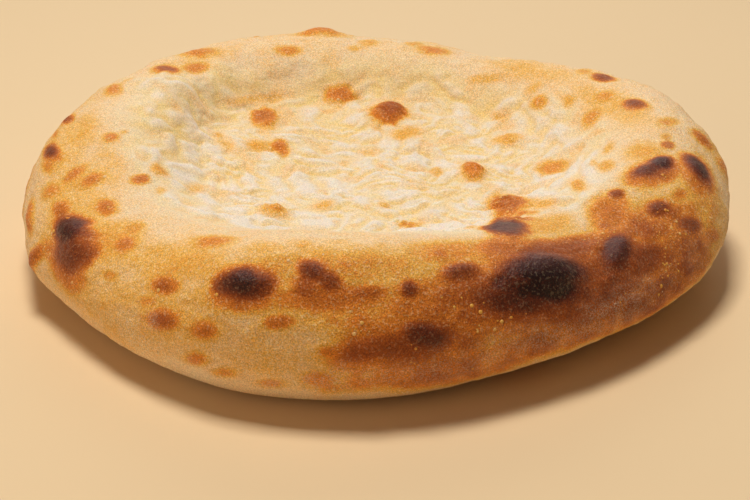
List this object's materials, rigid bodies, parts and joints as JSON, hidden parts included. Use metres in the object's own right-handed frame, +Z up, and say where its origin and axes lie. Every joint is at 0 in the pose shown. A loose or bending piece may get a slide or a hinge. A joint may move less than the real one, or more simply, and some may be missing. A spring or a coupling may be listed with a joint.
{
  "type": "flatbread",
  "caption": "Round leavened oven flatbread with a plump uneven rim round a pressed-down pale middle, browned and charred blisters on the crust.",
  "frame": {"origin": "middle of the resting face, under the middle of the bread's width and depth, on the table", "axes": "+Z up out of the table through the pressed-down middle; -Y is the side with the darkest blister on the rim, which faces the viewer; +X is to that viewer's right, along the bread's widest extent"},
  "size_m": [0.248, 0.236, 0.0527],
  "materials": {
    "crust": "matte",
    "flour": "matte"
  },
  "bodies": {
    "root": {"flatbread": "crust"}
  },
  "joints": []
}
